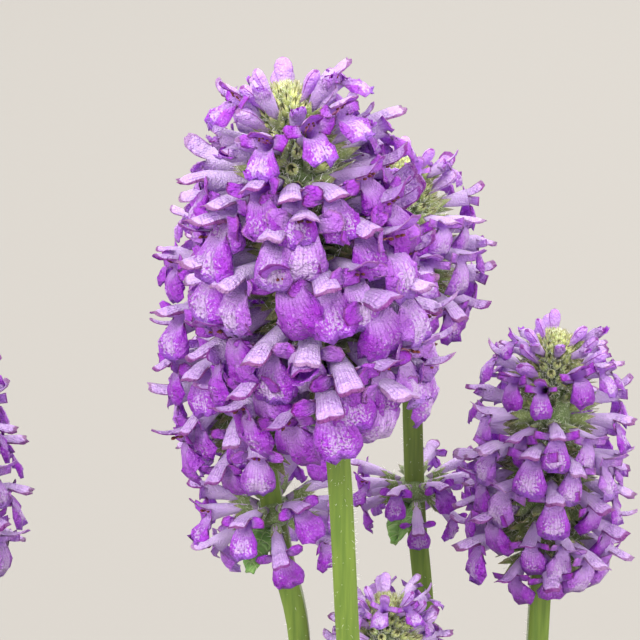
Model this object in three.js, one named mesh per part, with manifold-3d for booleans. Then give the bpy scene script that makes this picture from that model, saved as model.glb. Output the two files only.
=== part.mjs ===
// A potted hummelo betony: a clay pot of compost, a mound of scalloped leaves and six flower stems.
// Millimetres, +Z up. The origin is the centre of the pot's underside, and the tallest spike is towards -Y.
import * as THREE from "three";
import { mergeVertices } from "three/addons/utils/BufferGeometryUtils.js";
import Module from "manifold-3d";

const wasm = await Module();
wasm.setup();

// Clearance between pieces that touch.
const GAP = 0.3;

// The pot.
const POT_HEIGHT = 150;
const POT_BASE_RADIUS = 60;
const POT_SHOULDER_RADIUS = 80;
const POT_RIM_RADIUS = 91;
const POT_RIM_HEIGHT = 30;
const POT_MOUTH_RADIUS = 80;
const POT_WELL_RADIUS = 52;
const POT_FLOOR = 9;
const POT_SIDES = 32;
const DRAIN_COUNT = 4;
const DRAIN_RADIUS = 5;
const DRAIN_CIRCLE = 34;

// The compost, and how deep stems and leaf stalks stand in it.
const SOIL_TOP = 129;
const SOIL_BUMP = 1.4;
const ROOTED_DEPTH = 12;

// The flower stems are square in section. Heights on a spike are measured from its foot on the stem. Its
// green body starts a little above that, and the stem's tip ends inside it.
const STEM_WIDTH = 4;
const SPIKE_BODY_START = 5;
const STEM_TIP_HEIGHT = 9;

// One open flower: a tube, a raised upper lip, two sides and a hanging lower lip, measured from its root.
const FLOWER = {
  rootRadius: 0.9,
  mouthRadius: 1.9,
  tubeLength: 11.6,
  lipReach: 5,
  lipRise: 3,
  lipHalfWidth: 1.8,
  sideReach: 1.8,
  sideSpread: 3.6,
  sideDrop: 1,
  dropReach: 2.6,
  drop: 4.8,
  dropHalfWidth: 2.2,
};
const BUD = { radius: 1.3, length: 5.5 };
const FLOWER_ROOT_FROM_AXIS = 2.8;

// The tallest spike's whorls from the foot up: height, lift of the flowers in degrees, and the azimuths of
// the flowers in front, where 0 faces -Y and 90 faces +X. The back is filled evenly.
const MAIN_WHORLS = [
  { height: 14, lift: -18, front: [-62, -30, 1, 40, 74] },
  { height: 19.5, lift: -10, front: [-80, -46, -12, 33, 60, 90] },
  { height: 26, lift: -3, front: [-84, -58, -32, -3, 32, 60, 86] },
  { height: 33, lift: 3, front: [-88, -62, -40, -15, 29, 56, 84] },
  { height: 39.5, lift: 8, front: [-80, -54, -12, 6, 34, 58, 82] },
  { height: 46, lift: 14, front: [-84, -50, -24, -3, 22, 48, 84] },
  { height: 51, lift: 28, front: [-88, -58, 20, 52, 80] },
  { height: 54, lift: 44, front: [-64, -24, 12, 56] },
];
const BACK_SPACING = 44;

// The other spikes' whorls follow one rule.
const WHORL_SPACING = 8.6;
const WHORL_FLOWERS = 6;

// Each spike stands on its stem: the stem's foot in the compost, the points its stem passes, the spike's
// foot and tip, the reach of its flowers, and its leaf pairs with their length and turn in degrees.
const SPIKES = {
  a: {
    seed: 101,
    stem: [[4, -20, 0], [5, -25, 200], [7, -44, 400], [4.7, -50, 443]],
    foot: [2.8, -50, 478],
    tip: [-5.9, -50, 540],
    reach: 21,
    whorls: MAIN_WHORLS,
    leafPairs: [
      { height: 300, length: 54, turn: 0 },
      { height: 362, length: 30, turn: 110 },
    ],
  },
  b: {
    seed: 2,
    stem: [[-15, -5, 0], [-12, -5, 200], [-3.8, -3, 418], [-6.9, -3, 435.3]],
    foot: [-9.6, -3, 451.9],
    tip: [-15.6, -3, 504.6],
    reach: 18,
    lowerWhorl: { below: 7.5, reach: 14 },
    leafPairs: [
      { height: 322, length: 50, turn: 90 },
      { height: 345, length: 28, turn: 10 },
    ],
  },
  c: {
    seed: 3,
    stem: [[12, 20, 0], [16, 26, 200], [21.7, 36, 398], [19.2, 36, 430]],
    foot: [17.9, 36, 465.6],
    tip: [16.3, 36, 503.4],
    reach: 16.5,
    lowerWhorl: { below: 35, reach: 12 },
    leafPairs: [
      { height: 290, length: 50, turn: 8 },
      { height: 372, length: 26, turn: 100 },
    ],
  },
  d: {
    seed: 5,
    stem: [[27, 3, 0], [31, 4, 180], [39, 8, 320], [42, 10, 400]],
    foot: [42.5, 10, 422.7],
    tip: [43.8, 10, 477.2],
    reach: 16.5,
    leafPairs: [
      { height: 238, length: 46, turn: 103 },
      { height: 330, length: 28, turn: 165 },
    ],
  },
  e: {
    seed: 18,
    stem: [[10, -6, 0], [11, -7, 160], [13, -10, 280], [14, -12, 350]],
    foot: [13.7, -12, 378.5],
    tip: [11.9, -12, 433.5],
    reach: 15,
    leafPairs: [{ height: 306, length: 26, turn: 58 }],
  },
  f: {
    seed: 6,
    stem: [[-26, 11, 0], [-36, 14, 180], [-62, 21, 330], [-73, 27, 395]],
    foot: [-75, 28, 415],
    tip: [-77, 30, 468],
    reach: 17,
    leafPairs: [
      { height: 300, length: 50, turn: 70 },
      { height: 350, length: 28, turn: 160 },
    ],
  },
};

// The mound of basal leaves, in rings from the outside in. Lengths are of the blade, and reach and height
// give where the blade starts, peaks and ends.
const LEAF_TEETH = 6;
const LEAF_RINGS = [
  {
    turns: [22, 67, 112, 157, 202, 247, 292, 337],
    root: 40,
    start: [66, 174],
    peak: [110, 188],
    end: [150, 150],
    halfWidth: 22,
  },
  {
    turns: [-10, 34, 76, 118, 196, 236, 276, 314],
    root: 31,
    start: [40, 200],
    peak: [76, 236],
    end: [119, 222],
    halfWidth: 20,
  },
  {
    turns: [97, 139, 192, 238, 310],
    root: 21,
    start: [24, 222],
    peak: [42, 266],
    end: [66, 292],
    halfWidth: 13,
  },
];
const STALK_WIDTH = 3;
const RIB_THICKNESS = 2;

const clayColour = "#b5694a";
const soilColour = "#3d2f25";
const leafColour = "#5c8a3c";
const stemColour = "#8fb04a";
const petalColour = "#b765d6";

const radians = (degrees) => (degrees * Math.PI) / 180;
const mix = (a, b, t) => a + (b - a) * t;
const vector = (xyz) => new THREE.Vector3(...xyz);

// A repeatable offset from -1 to 1 for a pair of numbers.
function wobble(a, b) {
  const s = Math.sin(a * 12.9898 + b * 78.233) * 43758.5453;
  return 2 * (s - Math.floor(s)) - 1;
}

// A closed geometry as a solid that can be joined and cut.
function solid(geometry) {
  const bare = geometry.clone();
  bare.deleteAttribute("normal");
  bare.deleteAttribute("uv");
  const merged = mergeVertices(bare, 1e-4);
  return new wasm.Manifold(
    new wasm.Mesh({
      numProp: 3,
      vertProperties: merged.attributes.position.array,
      triVerts: new Uint32Array(merged.index.array),
    }),
  );
}

function join(solids) {
  let left = solids;
  while (left.length > 1) {
    const halved = [];
    for (let i = 0; i < left.length; i += 2)
      halved.push(left[i + 1] ? left[i].add(left[i + 1]) : left[i]);
    left = halved;
  }
  return left[0];
}

function meshOf(name, shape, material) {
  const made = shape.getMesh();
  const geometry = new THREE.BufferGeometry();
  geometry.setAttribute("position", new THREE.BufferAttribute(new Float32Array(made.vertProperties), 3));
  geometry.setIndex(new THREE.BufferAttribute(new Uint32Array(made.triVerts), 1));
  geometry.computeVertexNormals();
  const mesh = new THREE.Mesh(geometry, material);
  mesh.name = name;
  return mesh;
}

// Positions and triangles as a geometry.
function indexed(positions, triangles) {
  const geometry = new THREE.BufferGeometry();
  geometry.setAttribute("position", new THREE.Float32BufferAttribute(positions.flat(), 3));
  geometry.setIndex(triangles.flat());
  return geometry;
}

// Rings of points with equal counts, from one end of a piece to the other, as a closed geometry.
function loft(rings) {
  const n = rings[0].length;
  const triangles = [];
  for (let r = 0; r + 1 < rings.length; r++)
    for (let i = 0; i < n; i++) {
      const [a, b] = [r * n + i, r * n + ((i + 1) % n)];
      triangles.push([a, b, b + n], [a, b + n, a + n]);
    }
  const last = (rings.length - 1) * n;
  for (let i = 1; i + 1 < n; i++) triangles.push([0, i + 1, i], [last, last + i, last + i + 1]);
  return indexed(rings.flat().map((p) => p.toArray()), triangles);
}

// A lathe shape about +Z from [radius, height] points that start and end on the axis.
function turned(profile, sides) {
  const points = profile.map(([radius, height]) => new THREE.Vector2(radius, height));
  return new THREE.LatheGeometry(points, sides).rotateX(Math.PI / 2);
}

// The pot's inner radius at a height.
function wellRadius(height) {
  return mix(POT_WELL_RADIUS, POT_MOUTH_RADIUS, (height - POT_FLOOR) / (POT_HEIGHT - POT_FLOOR));
}

function pot() {
  const shoulder = POT_HEIGHT - POT_RIM_HEIGHT;
  const body = turned(
    [
      [0, 0],
      [POT_BASE_RADIUS - 2, 0],
      [POT_BASE_RADIUS, 2],
      [POT_SHOULDER_RADIUS, shoulder],
      [POT_RIM_RADIUS - 4, shoulder],
      [POT_RIM_RADIUS - 3, shoulder + 2],
      [POT_RIM_RADIUS, POT_HEIGHT - 3],
      [POT_RIM_RADIUS - 3, POT_HEIGHT],
      [POT_MOUTH_RADIUS + 3, POT_HEIGHT],
      [POT_MOUTH_RADIUS, POT_HEIGHT - 4],
      [POT_WELL_RADIUS, POT_FLOOR],
      [0, POT_FLOOR],
    ],
    POT_SIDES,
  );
  let shape = solid(body);
  for (let i = 0; i < DRAIN_COUNT; i++) {
    const angle = radians((360 * (i + 0.5)) / DRAIN_COUNT);
    const drain = new THREE.CylinderGeometry(DRAIN_RADIUS, DRAIN_RADIUS, POT_FLOOR * 3, 8);
    drain.rotateX(Math.PI / 2);
    drain.translate(Math.cos(angle) * DRAIN_CIRCLE, Math.sin(angle) * DRAIN_CIRCLE, POT_FLOOR / 2);
    shape = shape.subtract(solid(drain));
  }
  return shape;
}

// Compost with a plain hole for each [x, y, radius] in rooted.
function soil(rooted) {
  const edge = SOIL_TOP - 3;
  const body = turned(
    [
      [0, POT_FLOOR + GAP],
      [POT_WELL_RADIUS - 2 * GAP, POT_FLOOR + GAP],
      [wellRadius(edge) - 2 * GAP, edge],
      [62, SOIL_TOP],
      [34, SOIL_TOP + 1],
      [0, SOIL_TOP + 1],
    ],
    POT_SIDES,
  );
  const place = body.attributes.position;
  for (let i = 0; i < place.count; i++) {
    const [x, y, z] = [place.getX(i), place.getY(i), place.getZ(i)];
    const bump = wobble(Math.round(x), Math.round(y)) * SOIL_BUMP;
    if (z >= SOIL_TOP) place.setZ(i, z + (Math.hypot(x, y) < 1 ? 0 : bump));
  }
  const hole = (x, y, radius) => {
    const depth = ROOTED_DEPTH + GAP;
    const drill = new THREE.CylinderGeometry(radius, radius, depth + 20, 5);
    return solid(drill.rotateX(Math.PI / 2).translate(x, y, SOIL_TOP - depth + (depth + 20) / 2));
  };
  return solid(body).subtract(join(rooted.map(([x, y, radius]) => hole(x, y, radius))));
}

// A leaf as one closed sheet: a stalk that widens into a folded blade with rounded teeth. The path runs
// along the midrib, and side is the blade's horizontal width direction.
function leaf({ path, side, stalkStops, halfWidth, teeth, stalk = STALK_WIDTH, thickness = RIB_THICKNESS }) {
  const stations = stalkStops.map((at) => ({ at, half: stalk / 2, lift: 0, thick: stalk * 0.9 }));
  const stalkShare = stations.pop().at;
  for (let k = 0; k <= 2 * teeth; k++) {
    const v = k / (2 * teeth);
    const outline = halfWidth * Math.sin(Math.PI * Math.max(v, 0.02) ** 0.68) ** 0.62;
    const tooth = k % 2 ? 1 : 0.86;
    const half = k === 2 * teeth ? stalk / 2 : Math.max(outline * tooth, stalk / 2);
    const lift = half * 0.34 - (half * half * 0.26) / halfWidth;
    stations.push({ at: mix(stalkShare, 1, v), half, lift, thick: mix(thickness, thickness * 0.6, v) });
  }
  const rings = stations.map(({ at, half, lift, thick }) => {
    const middle = path.getPointAt(at);
    const normal = new THREE.Vector3().crossVectors(path.getTangentAt(at), side).normalize();
    const point = (across, up) => middle.clone().addScaledVector(side, across).addScaledVector(normal, up);
    return [point(-half, lift), point(0, -thick / 2), point(half, lift), point(0, thick / 2)];
  });
  return loft(rings);
}

// The path of a basal leaf at an azimuth, from its stalk in the compost through its blade.
function basalLeaf(ring, index) {
  const azimuth = radians(ring.turns[index]);
  const out = new THREE.Vector3(Math.cos(azimuth), Math.sin(azimuth), 0);
  const side = new THREE.Vector3(-out.y, out.x, 0);
  const sway = wobble(ring.turns.length, index);
  const at = ([reach, height], share) => {
    const level = out.clone().multiplyScalar(reach).addScaledVector(side, sway * 5 * share);
    return level.setZ(height + sway * 6 * share);
  };
  const rooted = out.clone().multiplyScalar(ring.root);
  const path = new THREE.CatmullRomCurve3(
    [
      rooted.clone().setZ(SOIL_TOP - ROOTED_DEPTH),
      rooted.clone().setZ(SOIL_TOP + 2),
      at(ring.start, 0.4),
      at(ring.peak, 0.8),
      at(ring.end, 1),
    ],
    false,
    "centripetal",
  );
  const length = path.getLength();
  const blade = Math.hypot(ring.end[0] - ring.peak[0], ring.end[1] - ring.peak[1]) +
    Math.hypot(ring.peak[0] - ring.start[0], ring.peak[1] - ring.start[1]);
  const bladeStart = 1 - blade / length;
  const surface = shareAtHeight(path, SOIL_TOP + 2);
  const stalkStops = [0, surface, mix(surface, bladeStart, 0.5), bladeStart];
  return {
    rooted: [rooted.x, rooted.y, 2.9],
    shape: solid(leaf({ path, side, stalkStops, halfWidth: ring.halfWidth, teeth: LEAF_TEETH })),
  };
}

function stemPath({ stem, foot, tip }) {
  const up = vector(tip).sub(vector(foot)).normalize();
  const [root, ...passes] = stem.map(vector);
  return new THREE.CatmullRomCurve3(
    [
      root.clone().setZ(SOIL_TOP - ROOTED_DEPTH),
      root.clone().setZ(SOIL_TOP + 12),
      ...passes,
      vector(foot),
      vector(foot).addScaledVector(up, STEM_TIP_HEIGHT),
    ],
    false,
    "centripetal",
  );
}

// The place along a path at a height.
function shareAtHeight(path, height) {
  let [low, high] = [0, 1];
  for (let i = 0; i < 24; i++) {
    const middle = (low + high) / 2;
    if (path.getPointAt(middle).z < height) low = middle;
    else high = middle;
  }
  return low;
}

// A square stem with its pairs of nearly stalkless leaves.
function stem(spike) {
  const path = stemPath(spike);
  const half = STEM_WIDTH / 2;
  const square = new THREE.Shape([
    new THREE.Vector2(-half, -half),
    new THREE.Vector2(half, -half),
    new THREE.Vector2(half, half),
    new THREE.Vector2(-half, half),
  ]);
  const parts = [solid(new THREE.ExtrudeGeometry(square, { steps: 9, extrudePath: path }))];
  for (const pair of spike.leafPairs) {
    const node = path.getPointAt(shareAtHeight(path, pair.height));
    for (const opposite of [0, 180]) {
      const azimuth = radians(pair.turn + opposite);
      const out = new THREE.Vector3(Math.cos(azimuth), Math.sin(azimuth), 0);
      const side = new THREE.Vector3(-out.y, out.x, 0);
      const at = (reach, rise) => {
        const level = node.clone().addScaledVector(out, reach * pair.length);
        return level.setZ(node.z + rise * pair.length);
      };
      const arch = [at(0, -0.05), at(0.3, 0.2), at(0.65, 0.34), at(0.98, 0.26)];
      parts.push(
        solid(
          leaf({
            path: new THREE.CatmullRomCurve3(arch),
            side,
            stalkStops: [0, 0.12],
            halfWidth: pair.length * 0.19,
            teeth: pair.length > 40 ? 5 : 3,
            stalk: 2.2,
            thickness: 1.6,
          }),
        ),
      );
    }
  }
  return join(parts);
}

// One flower along +Y with its upper lip towards +Z, scaled to size: a three-sided tube whose mouth opens
// into six rim points, two to each lip and one to each side, with a pit for the throat.
function flower(size) {
  const { rootRadius, mouthRadius, tubeLength, lipReach, lipRise, lipHalfWidth } = FLOWER;
  const { sideReach, sideSpread, sideDrop, dropReach, drop, dropHalfWidth } = FLOWER;
  const ring = (radius, y) =>
    [90, -30, -150].map(radians).map((angle) => [Math.cos(angle) * radius, y, Math.sin(angle) * radius]);
  const rim = [
    [-lipHalfWidth, tubeLength + lipReach, lipRise],
    [lipHalfWidth, tubeLength + lipReach, lipRise],
    [sideSpread, tubeLength + sideReach, -sideDrop],
    [dropHalfWidth, tubeLength + dropReach, -drop],
    [-dropHalfWidth, tubeLength + dropReach, -drop],
    [-sideSpread, tubeLength + sideReach, -sideDrop],
  ];
  const points = [...ring(rootRadius, 0), ...ring(mouthRadius, tubeLength), ...rim, [0, tubeLength - 1, 0]];
  const triangles = [[0, 2, 1]];
  for (let i = 0; i < 3; i++) {
    const next = (i + 1) % 3;
    const [a, b, c] = [6 + 2 * i, 7 + 2 * i, 6 + 2 * next];
    triangles.push([i, next, 3 + next], [i, 3 + next, 3 + i], [3 + i, b, a]);
    triangles.push([3 + i, 3 + next, c], [3 + i, c, b], [12, a, b], [12, b, c]);
  }
  return indexed(points.map((p) => p.map((x) => x * size)), triangles);
}

// A closed bud along +Y.
function bud(size) {
  const ring = (radius, y) =>
    [0, 1, 2, 3].map((i) => {
      const angle = radians(90 * i);
      return new THREE.Vector3(-Math.cos(angle) * radius, y, Math.sin(angle) * radius).multiplyScalar(size);
    });
  return loft([ring(BUD.radius * 0.6, 0), ring(BUD.radius, BUD.length * 0.6), ring(0.3, BUD.length)]);
}

// The matrix that sets a +Y piece at a height, azimuth and lift, in degrees, about a spike's own +Z axis.
function placed(height, fromAxis, azimuth, lift, roll) {
  const turn = new THREE.Matrix4().makeRotationZ(radians(azimuth + 180));
  const tilt = new THREE.Matrix4().makeRotationX(radians(lift));
  const spin = new THREE.Matrix4().makeRotationY(radians(roll));
  const out = new THREE.Matrix4().makeTranslation(0, fromAxis, height);
  return turn.multiply(out).multiply(tilt).multiply(spin);
}

// The azimuths of a whorl on the tallest spike: those in front, then the back filled evenly.
function mainAzimuths(front) {
  const last = front[front.length - 1];
  const gap = 360 - (last - front[0]);
  const count = Math.round(gap / BACK_SPACING) - 1;
  const back = Array.from({ length: count }, (_, i) => last + (gap * (i + 1)) / (count + 1));
  return [...front, ...back];
}

// The other spikes' whorls: level with drooping flowers below and raised ones above.
function ruledWhorls(length) {
  const count = Math.round((length - 18) / WHORL_SPACING) + 1;
  return Array.from({ length: count }, (_, i) => {
    const t = i / (count - 1);
    const offset = (i % 2) / 2;
    const azimuths = Array.from({ length: WHORL_FLOWERS }, (_, j) => (360 * (j + offset)) / WHORL_FLOWERS);
    return { height: mix(12, length - 6, t), lift: mix(-15, 16, t) + (t > 0.8 ? 26 : 0), azimuths };
  });
}

// The size of a flower so that the spike's outline narrows to both ends.
function flowerSize(reach, t) {
  const whole = FLOWER_ROOT_FROM_AXIS + FLOWER.tubeLength + FLOWER.lipReach;
  return (reach / whole) * (0.8 + 0.24 * Math.sin(Math.PI * Math.min(1, t * 0.8 + 0.22)));
}

// The green body that the flowers stand out of: the rachis with its crowded calyxes, as a plain barrel.
function spikeCore(length, reach) {
  const belly = Math.max(reach * 0.34, 6.2);
  const barrel = [
    [0, SPIKE_BODY_START],
    [belly * 0.75, SPIKE_BODY_START],
    [belly, length * 0.6],
    [belly * 0.6, length - 2],
    [0, length],
  ];
  return turned(barrel, 7);
}

// The spike's own frame: +Z runs from its foot to its tip, and -Y faces front.
function spikeFrame(foot, tip) {
  const up = tip.clone().sub(foot).normalize();
  const right = new THREE.Vector3().crossVectors(new THREE.Vector3(0, 1, 0), up).normalize();
  const back = new THREE.Vector3().crossVectors(up, right);
  return new THREE.Matrix4().makeBasis(right, back, up).setPosition(foot);
}

// A blind hole for the stem's tip, in the spike's own frame.
function stemSocket() {
  const radius = (STEM_WIDTH / Math.SQRT2 + GAP + 0.15) / Math.cos(Math.PI / 8);
  const top = STEM_TIP_HEIGHT + GAP;
  const socket = new THREE.CylinderGeometry(radius, radius, top + 10, 8);
  return socket.rotateX(Math.PI / 2).translate(0, 0, top / 2 - 5);
}

function spikeSolid({ seed, foot, tip, reach, whorls }) {
  const length = vector(tip).distanceTo(vector(foot));
  const rows = whorls
    ? whorls.map((row) => ({ ...row, azimuths: mainAzimuths(row.front) }))
    : ruledWhorls(length);
  const parts = [solid(spikeCore(length, reach))];
  rows.forEach(({ height, lift, azimuths }, i) =>
    azimuths.forEach((azimuth, j) => {
      const shake = wobble(seed * 10 + i, j);
      const size = flowerSize(reach, height / length) * (1 + 0.06 * shake);
      const [level, turn] = [height + 1.2 * shake, azimuth + 3 * shake];
      const place = placed(level, FLOWER_ROOT_FROM_AXIS, turn, lift + 6 * shake, 10 * shake);
      parts.push(solid(flower(size).applyMatrix4(place)));
    }),
  );
  for (let i = 0; i < 6; i++) {
    const top = i === 5;
    const lift = top ? 90 : 68 + 8 * wobble(seed, i);
    const place = placed(length - (top ? 2 : 3.5), top ? 0 : 2, 72 * i + 20, lift, 0);
    parts.push(solid(bud(0.9).applyMatrix4(place)));
  }
  const frame = spikeFrame(vector(foot), vector(tip));
  return join(parts).subtract(solid(stemSocket())).transform(frame.toArray());
}

// A separate ring of flowers lower on the stem, round a plain hole that the stem passes through.
function lowerWhorlSolid(spike) {
  const path = stemPath(spike);
  const share = shareAtHeight(path, spike.foot[2] - spike.lowerWhorl.below);
  const middle = path.getPointAt(share);
  const frame = spikeFrame(middle, middle.clone().add(path.getTangentAt(share)));
  const inner = 3.5;
  const outer = 6;
  const half = 2.6;
  const section = [
    [inner, -half],
    [outer - 1, -half],
    [outer, 0],
    [outer - 1, half],
    [inner, half],
    [inner, -half],
  ];
  const parts = [solid(turned(section, 8))];
  const count = 8;
  const size = (spike.lowerWhorl.reach - 5) / (FLOWER.tubeLength + FLOWER.lipReach);
  for (let j = 0; j < count; j++) {
    const shake = wobble(spike.seed * 7, j);
    const place = placed(0, 5, (360 * j) / count + 4 * shake, -8 + 8 * shake, 8 * shake);
    parts.push(solid(flower(size).applyMatrix4(place)));
  }
  return join(parts).transform(frame.toArray());
}

const material = (color, roughness) => new THREE.MeshStandardMaterial({ color, roughness, metalness: 0 });
const clay = material(clayColour, 0.85);
const compost = material(soilColour, 1);
const leafGreen = material(leafColour, 0.6);
const stemGreen = material(stemColour, 0.55);
const petal = material(petalColour, 0.5);

const plant = new THREE.Group();
plant.add(meshOf("pot", pot(), clay));

const rooted = [];
let leafNumber = 0;
for (const ring of LEAF_RINGS)
  for (let i = 0; i < ring.turns.length; i++) {
    const made = basalLeaf(ring, i);
    leafNumber += 1;
    rooted.push(made.rooted);
    plant.add(meshOf("basal_leaf_" + String(leafNumber).padStart(2, "0"), made.shape, leafGreen));
  }
for (const [name, spike] of Object.entries(SPIKES)) {
  rooted.push([spike.stem[0][0], spike.stem[0][1], 4.2]);
  plant.add(meshOf("stem_" + name, stem(spike), stemGreen));
  plant.add(meshOf("spike_" + name, spikeSolid(spike), petal));
  if (spike.lowerWhorl) plant.add(meshOf("lower_whorl_" + name, lowerWhorlSolid(spike), petal));
}
plant.add(meshOf("soil", soil(rooted), compost));

export default plant;
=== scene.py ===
import math
from bisect import bisect_left
from functools import partial

import bmesh
import bpy
from mathutils import Matrix, Vector, noise


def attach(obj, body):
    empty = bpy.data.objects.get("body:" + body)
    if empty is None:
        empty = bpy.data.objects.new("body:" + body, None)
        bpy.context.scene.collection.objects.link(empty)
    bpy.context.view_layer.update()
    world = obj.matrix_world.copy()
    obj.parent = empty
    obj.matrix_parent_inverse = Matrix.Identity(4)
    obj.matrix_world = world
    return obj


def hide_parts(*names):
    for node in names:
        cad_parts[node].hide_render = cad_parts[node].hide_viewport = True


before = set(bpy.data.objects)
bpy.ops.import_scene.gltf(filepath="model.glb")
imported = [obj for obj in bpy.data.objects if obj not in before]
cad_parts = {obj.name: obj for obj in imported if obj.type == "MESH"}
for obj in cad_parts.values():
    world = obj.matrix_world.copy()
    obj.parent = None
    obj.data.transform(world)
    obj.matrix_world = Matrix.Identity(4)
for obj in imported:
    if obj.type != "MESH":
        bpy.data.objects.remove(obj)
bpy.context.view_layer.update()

bl_info = {
    "name": "Potted Hummelo Betony",
    "version": (1, 0, 0),
    "blender": (4, 5, 0),
    "location": "View3D > Sidebar > Betony",
    "description": "A flowering betony in a clay pot, piece by piece",
    "category": "Add Mesh",
}

# Lengths below are in millimetres, and the finished meshes are in metres.
MM = 0.001

# One open flower along +Y from its root, its upper lip towards +Z: the tube's length, its share of the way
# in the place layer, the whole length, and how far the root stands from the spike's axis.
TUBE_LENGTH = 11.6
TUBE_SHARE = 0.42
FLOWER_LENGTH = 16.6
ROOT_FROM_AXIS = 2.8

# Degrees round the mouth from the top of the upper lip, with a column in each notch between two lips.
UPPER_NOTCH = 52
LOWER_NOTCH = 114
FINE_COLUMNS = (0, 15, 30, 42, 50, 52, 55, 66, 83, 100, 111, 114, 117, 123, 132, 144, 156, 168, 180)
PLAIN_COLUMNS = (0, 30, 48, 52, 68, 98, 114, 120, 138, 159, 180)

# The lips as upper, side and lower: the middle of the span round the mouth and half the span in degrees, the
# length, how squarely the lip ends, how far it flares, and how deeply it folds.
LIPS = ((0, UPPER_NOTCH, 5.7, 0.2, 0.9, 0.3), (83, 31, 3.7, 0.3, 1.1, 0.7), (180, 66, 6.9, 0.3, 3.5, 0.9))
SHUT_LEANS = (-46, -40, -42)
ANTHERS = ((-0.8, 12.3, 0.4), (0.85, 12.6, 0.35), (-0.35, 13.6, 0.5), (0.45, 13.4, 0.55))
PETAL_THICKNESS = 0.13
CALYX_THICKNESS = 0.16

# A closed bud's distances from its root, with its radius there.
BUD_PROFILE = ((0, 0.6), (2.2, 0.85), (3.8, 1.15), (5.2, 1.5), (6.4, 1.45), (7.3, 0.95), (7.7, 0.2))

# The tallest spike's whorls from the foot up: height, lift of the flowers in degrees, and the azimuths of
# the flowers in front, where 0 faces -Y and 90 faces +X. The back is filled evenly.
MAIN_WHORLS = (
    (15.5, -10, (-62, -30, 1, 40, 74)),
    (20, -7, (-80, -46, -12, 12, 33, 60, 90)),
    (26, -3, (-84, -58, -32, -3, 32, 60, 86)),
    (33, 3, (-88, -62, -40, -15, 8, 29, 56, 84)),
    (39.5, 8, (-80, -54, -12, 6, 34, 58, 82)),
    (46, 14, (-84, -50, -24, -3, 22, 48, 84)),
    (51, 34, (-88, -58, -20, 20, 52, 80)),
    (54, 54, (-64, -24, 12, 56)),
)
BACK_SPACING = 29
WHORL_SPACING = 6.4
WHORL_FLOWERS = 10

# Each spike on its stem: a seed, the points the stem passes, the spike's foot and tip, the reach of its
# flowers, how far below the foot a separate whorl sits and its reach, each leaf pair's height, length and
# turn in degrees, and the stem's hairs where they are more than on the others.
SPIKES = {
    "a": {
        "stem": ((4, -20, 0), (5, -25, 200), (7, -44, 400), (4.7, -50, 443)),
        "seed": 101, "foot": (2.8, -50, 478), "tip": (-5.9, -50, 540), "reach": 21,
        "pairs": ((300, 54, 0), (362, 30, 110)), "hairs": 1500,
    },
    "b": {
        "stem": ((-15, -5, 0), (-12, -5, 200), (-3.8, -3, 418), (-6.9, -3, 435.3)),
        "seed": 2, "foot": (-9.6, -3, 451.9), "tip": (-15.6, -3, 504.6), "reach": 18,
        "pairs": ((322, 50, 90), (345, 28, 10)), "whorl": (7.5, 14),
    },
    "c": {
        "stem": ((12, 20, 0), (16, 26, 200), (21.7, 36, 398), (19.2, 36, 430)),
        "seed": 3, "foot": (17.9, 36, 465.6), "tip": (16.3, 36, 503.4), "reach": 16.5,
        "pairs": ((290, 50, 8), (372, 26, 100)), "whorl": (35, 12),
    },
    "d": {
        "stem": ((27, 3, 0), (31, 4, 180), (39, 8, 320), (42, 10, 400)),
        "seed": 5, "foot": (42.5, 10, 422.7), "tip": (43.8, 10, 477.2), "reach": 16.5,
        "pairs": ((238, 46, 103), (330, 28, 165)),
    },
    "e": {
        "stem": ((10, -6, 0), (11, -7, 160), (13, -10, 280), (14, -12, 350)),
        "seed": 18, "foot": (13.7, -12, 378.5), "tip": (11.9, -12, 433.5), "reach": 15,
        "pairs": ((306, 26, 58),),
    },
    "f": {
        "stem": ((-26, 11, 0), (-36, 14, 180), (-62, 21, 330), (-73, 27, 395)),
        "seed": 6, "foot": (-75, 28, 415), "tip": (-77, 30, 468), "reach": 17,
        "pairs": ((300, 50, 70), (350, 28, 160)),
    },
}  # fmt: skip

# Heights above a spike's foot where its core starts and its stem ends.
SPIKE_BODY_START = 5
STEM_TIP_HEIGHT = 9

STEM_RADIUS = 2.0
STEM_HAIRS = 500
TIP_CALYXES = 96
GOLDEN_ANGLE = 137.5
LOWER_WHORL_FLOWERS = 16

# Small leaves on the stems and under the lower whorls, as distances out and up.
STEM_LEAF_CURVE = ((0, -0.05), (0.3, 0.2), (0.65, 0.34), (0.98, 0.26))
BRACT_CURVE = ((2.2, -2.4), (5, -2.6), (9, -4), (12.5, -7))

# The mound of basal leaves, in rings from the outside in: azimuths, the stalk's distance from the middle,
# where the blade starts, peaks and ends as reach and height, and half its width.
LEAF_RINGS = (
    ((22, 67, 112, 157, 202, 247, 292, 337), 40, (66, 174), (110, 188), (150, 150), 22),
    ((-10, 34, 76, 118, 196, 236, 276, 314), 31, (40, 200), (76, 236), (119, 222), 20),
    ((97, 139, 192, 238, 310), 21, (24, 222), (42, 266), (66, 292), 13),
)
LEAF_THICKNESS = 0.5
SOIL_TOP = 129
ROOTED_DEPTH = 12

# The pot's outline from the middle of its underside, over the rim, to the middle of its floor.
POT_OUTLINE = (
    (0, 0), (58, 0), (59.4, 0.5), (60, 2), (79.7, 118.6), (80.4, 120), (86.4, 120), (87.7, 120.5), (88.3, 122),
    (90.8, 146), (90.4, 148.8), (88, 150), (83.5, 150), (81, 149.2), (80, 146), (52, 9), (0, 9),
)  # fmt: skip
DRAIN_CIRCLE = 34
DRAIN_RADIUS = 5
COMPOST_FLOOR = 9.4
COMPOST_RADIUS = 74.6
COMPOST_EDGE = 126
COMPOST_RINGS = 30
BARK_CHIPS = 620

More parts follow.
